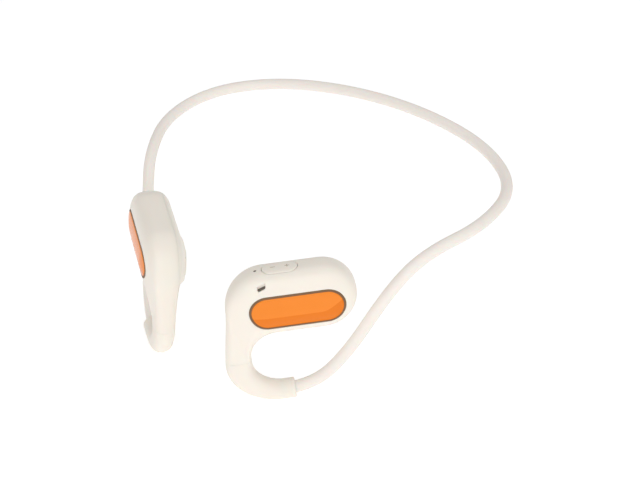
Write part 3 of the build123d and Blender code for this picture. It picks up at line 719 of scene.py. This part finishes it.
def face_height(x, y, side):
    """How far out the capsule's skin is at x and y, on the outer side, 1, or the inner side, -1."""
    hit = capsule_tree.ray_cast(Vector((x, y, BEYOND * side)), Vector((0, 0, -side)))[0]
    return abs(hit.z) if hit else 0.0


def top_height(x, z):
    """The height of the capsule's top at x and z."""
    hit = capsule_tree.ray_cast(Vector((x, BEYOND, z)), Vector((0, -1, 0)))[0]
    return hit.y if hit else 0.0


def plate_loops(profile):
    """Slots round the plate's centre that follow the capsule's outer skin, for each inset and height."""
    loops = []
    for inset, height in profile:
        ring = slot_ring(PLATE_HALF[0] - inset, PLATE_HALF[1] - inset, PLATE_POINTS)
        loops.append([(x, y, face_height(x, y, 1) + height) for x, y in placed(ring, PLATE_AT)])
    return loops


def soft_rise(value, ease):
    """Nothing below zero and the value above it, with a soft turn between."""
    return (value + math.hypot(value, ease)) / 2


def facet_drop(x, y):
    """How far the plate's lower facet falls away at x and y."""
    crease = CREASE_HEIGHT + CREASE_SLOPE * soft_rise(x - CREASE_TURN_X, CREASE_EASE)
    return FACET_SLOPE * soft_rise(crease - y, FACET_EASE)


def decor_plate_solid():
    """The domed plate: a rolled edge, a slightly crowned face that follows the capsule, and a facet."""
    profile = [(GASKET_WIDTH + inset, height) for inset, height in PLATE_EDGE]
    edge_inset, edge_height = profile[-1]
    for step in range(1, PLATE_STEPS + 1):
        share = step / PLATE_STEPS
        inset = mixed(edge_inset, PLATE_HALF[1] - PLATE_MIDDLE, share)
        profile.append((inset, edge_height + PLATE_CROWN * math.sin(share * math.pi / 2)))
    loops = plate_loops(profile)
    for i, loop in enumerate(loops[2:]):
        fade = min(1.0, i / FACET_FADE_LOOPS)
        loops[i + 2] = [(x, y, z - fade * facet_drop(x, y)) for x, y, z in loop]
    return solid(loops)


def ring_solid(loops, same_point=SAME_POINT):
    """A closed ring whose section runs through these loops and back to the first."""
    bm = bmesh.new()
    add_loops(bm, loops + loops[:1], cap_start=False, cap_end=False)
    bmesh.ops.remove_doubles(bm, verts=bm.verts, dist=same_point)
    bmesh.ops.recalc_face_normals(bm, faces=bm.faces)
    return bm


def gasket_solid():
    """The dark ring that sits low in the groove round the plate."""
    return ring_solid(plate_loops(GASKET_EDGE))


def recess_solid():
    """What the plate's recess takes out of the capsule, with a small rolled lip."""
    return solid(plate_loops(RECESS_EDGE))


def crown(x, y):
    """How far out the pod's gently domed face is."""
    bend_x, bend_y = POD_BENDS
    return POD_APEX[2] - bend_y * (y - POD_APEX[1]) ** 2 - bend_x * (x - POD_APEX[0]) ** 2


def pad_ring(grow):
    """The skin pad's outline, grown."""
    return placed(oval_ring(PAD_HALF[0] + grow, PAD_HALF[1] + grow), POD_AT)


def pod_solid():
    """The oval pod on the inner side: a low dome that flows out of the shell, with the pad's recess."""
    rim = placed(oval_ring(POD_RIM[0], POD_RIM[1]), (POD_AT[0], POD_AT[1] + POD_RIM[2]))
    loops = [[(x, y, SPLIT - POD_FOOT) for x, y in rim]]
    for step in range(POD_STEPS + 1):
        t = step / POD_STEPS
        half_length, half_height, shift = [mixed(low, high, t) for low, high in zip(POD_RIM, POD_TOP)]
        loop = []
        for x, y in placed(oval_ring(half_length, half_height), (POD_AT[0], POD_AT[1] + shift)):
            skin = max(face_height(x, y, -1), THIN_MARGIN - SPLIT) - POD_SINK
            loop.append((x, y, -mixed(skin, crown(x, y), eased(t))))
        loops.append(loop)
    for grow, drop in PAD_RECESS:
        loops.append([(x, y, drop - crown(x, y)) for x, y in pad_ring(grow)])
    return solid(loops)


def skin_pad_solid():
    """The soft oval pad that touches the cheekbone."""
    return solid([[(x, y, -crown(x, y) - rise) for x, y in pad_ring(grow)] for grow, rise in PAD_EDGE])


def level_outline(level, inset):
    """The capsule's outline above the lid's lower edge at this level of z, moved in."""
    inner, outer = [], []
    for edges, half_thick, power, rounding in BODY_ROWS:
        if half_thick <= abs(level) + THIN_MARGIN:
            continue
        centre, reach = (edges[:2] + edges[2:]) / 2, (edges[2:] - edges[:2]) / 2
        share = (1 - (abs(level) / half_thick) ** power) ** (1 / power)
        length = np.hypot(*reach)
        rounding = min(rounding, length)
        part = (length - rounding + share * rounding - inset) / length
        inner.append(centre - reach * part)
        outer.append(centre + reach * part)
    centre_y = (CAPSULE_BOTTOM + CAPSULE_TOP) / 2
    radius = outer[-1][1] - centre_y
    rear = []
    for step in range(1, END_STEPS):
        turn = math.pi * step / END_STEPS
        rear.append((CAPSULE_END_X + radius * math.sin(turn), centre_y - radius * math.cos(turn)))
    floor_level = LID_BOTTOM + inset
    loop = [point for point in inner if point[1] > floor_level] + rear
    return loop + [point for point in outer[::-1] if point[1] > floor_level]


def resampled(loop, count):
    """The closed loop again, with this many evenly spaced points."""
    closed = np.array(list(loop) + [loop[0]], float)
    run = np.concatenate(([0], np.cumsum(np.linalg.norm(np.diff(closed, axis=0), axis=1))))
    at = np.linspace(0, run[-1], count, endpoint=False)
    columns = [np.interp(at, run, closed[:, k]) for k in range(3)]
    return [tuple(point) for point in zip(*columns)]


def seal_solid():
    """The soft ring pressed between the two shells."""
    loops = []
    outer, inner = SEAL_INSETS
    shallow, deep = SEAL_DROPS
    for inset, drop in ((outer, shallow), (outer, deep), (inner, deep), (inner, shallow)):
        loops.append([(x, y, SPLIT - drop) for x, y in level_outline(SPLIT, inset)])
    count = min(len(loop) for loop in loops)
    return ring_solid([resampled(loop, count) for loop in loops])


def contacts_solid():
    """The two gold charging contacts, each a flush disc with a rounded edge."""
    bm = bmesh.new()
    for x, y in CONTACT_SPOTS:
        loops = []
        for share, rise in CONTACT_EDGE:
            level = -face_height(x, y, -1) - rise
            loops.append([(*point, level) for point in circle(CONTACT_RADIUS * share, (x, y), 40)])
        add_loops(bm, loops)
    bmesh.ops.recalc_face_normals(bm, faces=bm.faces)
    return bm


# ---------------------------------------------------------------- controls on the right capsule
def rocker_ring(inset):
    """The rocker's outline from above, moved in."""
    return placed(slot_ring(ROCKER_HALF[0] - inset, ROCKER_HALF[1] - inset), ROCKER_AT)


def rocker_opening():
    """The well of the rocker, cut from the top."""
    loops = [[(x, ROCKER_FLOOR, z) for x, z in rocker_ring(0.0)]]
    for inset, height in WELL_LIP:
        loops.append([(x, top_height(x, z) + height, z) for x, z in rocker_ring(inset)])
    return solid(loops)


def sign_bar(centre_x, half_length, half_width):
    """One low bar of the plus or minus sign on the rocker."""
    longer, shorter = max(half_length, half_width), min(half_length, half_width)
    loops = []
    for inset, height in SIGN_EDGE:
        ring = slot_ring(longer - inset, shorter - inset, 24)
        if half_width > half_length:
            ring = [(y, x) for x, y in ring]
        loops.append([(x, top_height(x, z) + height, z) for x, z in placed(ring, (centre_x, SIGN_Z))])
    return solid(loops)


def rocker_solid():
    """The rocker: a crowned key with a boss on its pin and a nub over each switch."""
    middle_x, middle_z = ROCKER_AT
    pivot = (middle_x, PIVOT_HEIGHT)
    loops = []
    for inset, height in ROCKER_EDGE:
        loops.append([(x, top_height(x, z) + height, z) for x, z in rocker_ring(inset)])
    bm = solid(loops)
    boss = circle(BOSS_RADIUS, pivot, 32)
    bm = join(bm, prism(boss, middle_z - BOSS_HALF_LENGTH, middle_z + BOSS_HALF_LENGTH))
    bore = circle(BORE_RADIUS, pivot, 32)
    bm = cut(bm, prism(bore, middle_z - BORE_HALF_LENGTH, middle_z + BORE_HALF_LENGTH))
    for side in (-1, 1):
        nub = circle(NUB_RADIUS, (middle_x + side * NUB_SPACING, middle_z), 24)
        bm = join(bm, prism(nub, NUB_BOTTOM, NUB_TOP, axis="y"))
    return bm


def port_ring(grow, low_share=1.0):
    """The microphone port's outline, or only its lower part: four sides with eased corners."""
    top_left, top_right, low_right, low_left = [Vector(corner) for corner in PORT_CORNERS]
    top_left = low_left.lerp(top_left, low_share)
    top_right = low_right.lerp(top_right, low_share)
    corners = (top_left, top_right, low_right, low_left)
    centre = sum(corners, Vector((0, 0))) / 4
    corners = [corner + (corner - centre).normalized() * grow for corner in corners]
    ring = []
    ease = PORT_CORNER_EASE * low_share
    for i, here in enumerate(corners):
        before, after = corners[i - 1], corners[(i + 1) % 4]
        start = here + (before - here).normalized() * ease
        end = here + (after - here).normalized() * ease
        for step in range(7):
            t = step / 6
            ring.append(tuple(start * (1 - t) ** 2 + here * 2 * t * (1 - t) + end * t**2))
    return ring


# ---------------------------------------------------------------- pieces of both earpieces
hook_blank = half(body, ARM_SEAM - SEAM_GAP / 2, False)
capsule = cut(half(body, ARM_SEAM + SEAM_GAP / 2, True), cavity_solid())
lid_space = box_solid((-BEYOND, LID_BOTTOM, -BEYOND), (BEYOND, BEYOND, SPLIT + SEAM_GAP))
lid_block = box_solid((-BEYOND, LID_BOTTOM + SEAM_GAP, -BEYOND), (BEYOND, BEYOND, SPLIT))
outer_blank = cut(cut(capsule.copy(), lid_space), recess_solid())
inner_blank = join(combined(capsule, lid_block, "INTERSECT"), pod_solid())
driver_space = circle(DRIVER_SPACE_RADIUS, POD_AT, 64)
inner_blank = cut(inner_blank, prism(driver_space, DRIVER_SPACE_FLOOR, SPLIT + DRIVER_SPACE_OVERRUN))

right_outer = cut(outer_blank.copy(), rocker_opening())
right_outer = cut(right_outer, prism(circle(LIGHT_RADIUS, LIGHT_AT, 32), *LIGHT_HOLE, axis="y"))
port_loops = [[(x, y, level) for x, y in port_ring(grow)] for level, grow in PORT_LEVELS]
right_outer = cut(right_outer, solid(port_loops))

for side_name, rider, matrix in (("right", RIGHT, EAR), ("left", LEFT, MIRROR @ EAR)):
    outer_bm = right_outer if side_name == "right" else outer_blank
    inner_bm = inner_blank.copy()
    for bm, piece_name, slot in (
        (outer_bm, "outer_shell", "cream_plastic"),
        (inner_bm, "inner_shell", "cream_plastic"),
        (decor_plate_solid(), "decor_plate", "orange_gloss"),
        (gasket_solid(), "plate_gasket", "brown_rubber"),
        (skin_pad_solid(), "skin_pad", "cream_silicone"),
        (seal_solid(), "shell_seal", "seal_rubber"),
        (hook_blank.copy(), "ear_hook", "cream_silicone"),
        (collar_solid(), "collar", "cream_silicone"),
    ):
        piece = make_object(bm, f"{side_name}_{piece_name}_skin", matrix)
        finish_piece(piece, materials[slot], rider, [f"{side_name}_{piece_name}"])

rocker = make_object(rocker_solid(), "volume_rocker_key", EAR)
finish_piece(rocker, materials["cream_plastic"], "rocker", ["volume_rocker"])
# The signs' darker colour is painted shade, standing in for the shade in engraved signs.
for sign_name, centre, half_length, half_width in (
    ("minus_sign", MINUS_X, SIGN_REACH, SIGN_HALF_WIDTH),
    ("plus_sign_long", PLUS_X, SIGN_REACH, SIGN_HALF_WIDTH),
    ("plus_sign_cross", PLUS_X, SIGN_HALF_WIDTH, SIGN_REACH),
):
    sign = make_object(sign_bar(centre, half_length, half_width), sign_name, EAR)
    finish_piece(sign, materials["sign_groove_shade"], "rocker", [])

pipe_top = top_height(*LIGHT_AT) - PIPE_RECESS
pipe_bm = prism(circle(PIPE_RADIUS, LIGHT_AT, 32), PIPE_BOTTOM, pipe_top, axis="y")
pipe = make_object(pipe_bm, "light_pipe", EAR)
finish_piece(pipe, materials["clear_pipe"], RIGHT, ["right_light_pipe"])

mesh_bm = prism(port_ring(MESH_GROWTH, MESH_SHARE), *MESH_LEVELS)
mesh_piece = make_object(mesh_bm, "microphone_mesh", EAR)
finish_piece(mesh_piece, materials["dark_mesh"], RIGHT, ["right_mic_mesh"])

contacts = make_object(contacts_solid(), "charging_contacts", EAR)
finish_piece(contacts, materials["gold_contact"], RIGHT, ["right_charge_contacts"])

# ---------------------------------------------------------------- neckband
# The corners of the band's right half, in millimetres in the object's frame, from the collar to the middle.
BAND_CORNERS = [
    (41.5, -32.84, 13.95),
    (50.0, -20.34, 36.45),
    (56.5, -10.34, 46.35),
    (65.5, 10.16, 48.95),
    (63.5, 35.16, 49.45),
    (44.5, 51.66, 51.35),
    (15.5, 59.06, 52.95),
]


def band_line(start):
    """Points along the band's smooth centre line, from this far along the collar, in metres."""
    half_route = [EAR @ Vector((x, 0, 0)) for x in (start, COLLAR_AXIS_X[1])]
    half_route += [Vector(point) * MM for point in BAND_CORNERS]
    route = half_route + [Vector((-p.x, p.y, p.z)) for p in reversed(half_route)]
    curve = bpy.data.curves.new("band_route", "CURVE")
    curve.dimensions = "3D"
    line = curve.splines.new("NURBS")
    line.points.add(len(route) - 1)
    for point, place in zip(line.points, route):
        point.co = (*place, 1)
    line.order_u = 3
    line.use_endpoint_u = True
    line.resolution_u = 24
    holder = bpy.data.objects.new("band_route", curve)
    bpy.context.scene.collection.objects.link(holder)
    depsgraph = bpy.context.evaluated_depsgraph_get()
    mesh = bpy.data.meshes.new_from_object(holder.evaluated_get(depsgraph))
    points = [vertex.co.copy() for vertex in mesh.vertices]
    bpy.data.objects.remove(holder)
    return points


def tube_loops(points, radius, count, offset):
    """Round sections along these points, carried along without twist, beside the line by the offset."""
    loops = []
    side = (EAR.to_3x3() @ Vector((0, 0, 1))).normalized()
    for i, point in enumerate(points):
        along = (points[min(i + 1, len(points) - 1)] - points[max(i - 1, 0)]).normalized()
        side = (side - along * side.dot(along)).normalized()
        up = along.cross(side)
        turns = [2 * math.pi * k / count for k in range(count)]
        centre = point + side * offset
        loops.append([centre + (side * math.cos(turn) + up * math.sin(turn)) * radius for turn in turns])
    return loops


# The legs follow their earpieces, and the arch behind them bends within this distance of its middle.
# Both are in metres, and the arch's ends lie further out than it bends.
ARCH_FROM_Y = 0.01


def stretches(start, radius, count, offset=0.0):
    """A tube's loops in three stretches that share their end loops: right leg, arch and left leg."""
    points = band_line(start)
    loops = tube_loops(points, radius * MM, count, offset * MM)
    inside = [i for i, point in enumerate(points) if point.y > ARCH_FROM_Y]
    return loops[: inside[0] + 1], loops[inside[0] : inside[-1] + 1], loops[inside[-1] :]


def sleeve_solids():
    """The band's silicone sleeve, hollow for the wires, as one solid for each stretch."""
    outsides = stretches(COLLAR_AXIS_X[0], BAND_RADIUS, 40)
    lumens = stretches(COLLAR_AXIS_X[0], BAND_LUMEN, 40)
    return [ring_solid(outside + lumen[::-1], SAME_POINT * MM) for outside, lumen in zip(outsides, lumens)]


def memory_wire_solids():
    """The springy wire, as one solid for each stretch."""
    return [solid(loops) for loops in stretches(BAND_WIRE_START, MEMORY_WIRE_RADIUS, 20)]


def signal_wire_solids():
    """The two thin wires, one each side of the memory wire, as one pair for each stretch."""
    solids = []
    offsets = (-SIGNAL_WIRE_OFFSET, SIGNAL_WIRE_OFFSET)
    for pair in zip(*[stretches(COLLAR_AXIS_X[0], SIGNAL_WIRE_RADIUS, 12, offset) for offset in offsets]):
        bm = bmesh.new()
        for loops in pair:
            add_loops(bm, loops)
        bmesh.ops.recalc_face_normals(bm, faces=bm.faces)
        solids.append(bm)
    return solids


for solids, name, skin, slot, replaced in (
    (sleeve_solids(), "neckband", "band_silicone", "cream_silicone", "neckband_sleeve"),
    (memory_wire_solids(), "memory_wire", "spring_steel", "spring_steel", "neckband_wire"),
    (signal_wire_solids(), "signal_wire_pair", "wire_insulation", "wire_insulation", "signal_wires"),
):
    for bm, stretch, rider in zip(solids, ("right_leg", "arch", "left_leg"), (RIGHT, None, LEFT)):
        band = make_object(bm, f"{name}_{stretch}")
        finish_piece(band, materials[skin], rider, [replaced])
        if rider is None:
            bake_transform(band)


# ---------------------------------------------------------------- floor, light and camera
FLOOR_GLOW = 0.3
WORLD_STRENGTH = 0.52


def stage_floor():
    """A plain pale floor."""
    bm = bmesh.new()
    bmesh.ops.create_grid(bm, x_segments=1, y_segments=1, size=2.0)
    floor = make_object(bm, "floor")
    floor.data.materials.append(
        surface(
            "floor_paint", (0.95, 0.95, 0.95), (0.97, 0.97, 0.97), 3, (0.75, 0.85),
            **{"Emission Color": (1, 1, 1, 1), "Emission Strength": FLOOR_GLOW},
        )
    )


def area_light(name, place, aim, size, power):
    """A soft rectangular light that looks at a point."""
    light = bpy.data.lights.new(name, "AREA")
    light.shape = "RECTANGLE"
    light.size, light.size_y = size
    light.energy = power
    holder = bpy.data.objects.new(name, light)
    bpy.context.scene.collection.objects.link(holder)
    holder.location = place
    holder.rotation_euler = (Vector(aim) - Vector(place)).to_track_quat("-Z", "Y").to_euler()


stage_floor()
middle = Vector((0, 0, 0.03))
area_light("key", (0.32, -0.68, 0.46), middle, (0.8, 0.6), 2.45)
area_light("fill", (0.75, -0.1, 0.45), middle, (0.6, 0.6), 0.9)
area_light("top", (0.0, 0.25, 0.95), middle, (0.9, 0.9), 1.7)

world = bpy.data.worlds.new("studio")
world.use_nodes = True
world.node_tree.nodes["Background"].inputs["Color"].default_value = (1.0, 1.0, 1.0, 1)
world.node_tree.nodes["Background"].inputs["Strength"].default_value = WORLD_STRENGTH
bpy.context.scene.world = world
bpy.context.scene.view_settings.view_transform = "Standard"

CAMERA_AZIMUTH = math.radians(34)
CAMERA_ELEVATION = math.radians(34)
CAMERA_DISTANCE = 0.41566
CAMERA_AIM_ACROSS = 0.03325
CAMERA_AIM_UP = 0.0372
CAMERA_DATUM = Vector((0, -0.04584, 0.005))
CAMERA_LENS = 70.36


def add_camera():
    """The camera, which looks down at the set from its right front."""
    sin_a, cos_a = math.sin(CAMERA_AZIMUTH), math.cos(CAMERA_AZIMUTH)
    sin_e, cos_e = math.sin(CAMERA_ELEVATION), math.cos(CAMERA_ELEVATION)
    forward = Vector((-sin_a * cos_e, cos_a * cos_e, -sin_e))
    across = Vector((cos_a, sin_a, 0))
    up = across.cross(forward)
    aim = CAMERA_DATUM + across * CAMERA_AIM_ACROSS + up * CAMERA_AIM_UP
    data = bpy.data.cameras.new("camera")
    data.lens = CAMERA_LENS
    data.clip_start = 0.01
    camera = bpy.data.objects.new("camera", data)
    bpy.context.scene.collection.objects.link(camera)
    turn = Matrix((across, up, -forward)).transposed().to_4x4()
    camera.matrix_world = Matrix.Translation(aim - forward * CAMERA_DISTANCE) @ turn
    bpy.context.scene.camera = camera


add_camera()
